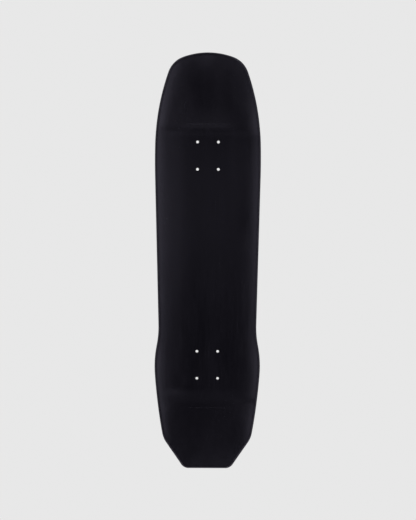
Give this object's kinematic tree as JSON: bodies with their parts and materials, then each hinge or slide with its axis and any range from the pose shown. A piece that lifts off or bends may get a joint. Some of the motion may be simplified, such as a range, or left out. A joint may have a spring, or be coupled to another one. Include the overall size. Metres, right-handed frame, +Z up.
{
  "type": "skateboard deck",
  "caption": "Bare shaped skateboard deck of pressed maple veneers: rounded nose, waist ahead of the rear trucks, bevelled tail, concave between raised rails, and drilled for two trucks.",
  "frame": {"origin": "on the flat underside, midway between the two truck bolt patterns, which is also midway between the nose tip and the tail end", "axes": "+X across the deck, +Y along it towards the rounded nose, +Z up from the face that the rider stands on"},
  "size_m": [0.2095, 0.8128, 0.0619],
  "materials": {
    "top_lacquer": "satin black lacquer over maple veneer, grain running along the deck",
    "underside_lacquer": "satin black lacquer over maple veneer, grain running along the deck",
    "core_edge": "black-sealed veneer edge, long grain",
    "crossband_edge": "black-sealed veneer edge, cross grain"
  },
  "bodies": {
    "root": {"bottom_face_veneer": "underside_lacquer", "lower_crossband_veneer": "crossband_edge", "lower_core_veneer": "core_edge", "centre_core_veneer": "core_edge", "upper_core_veneer": "core_edge", "upper_crossband_veneer": "crossband_edge", "top_face_veneer": "top_lacquer"}
  },
  "joints": []
}
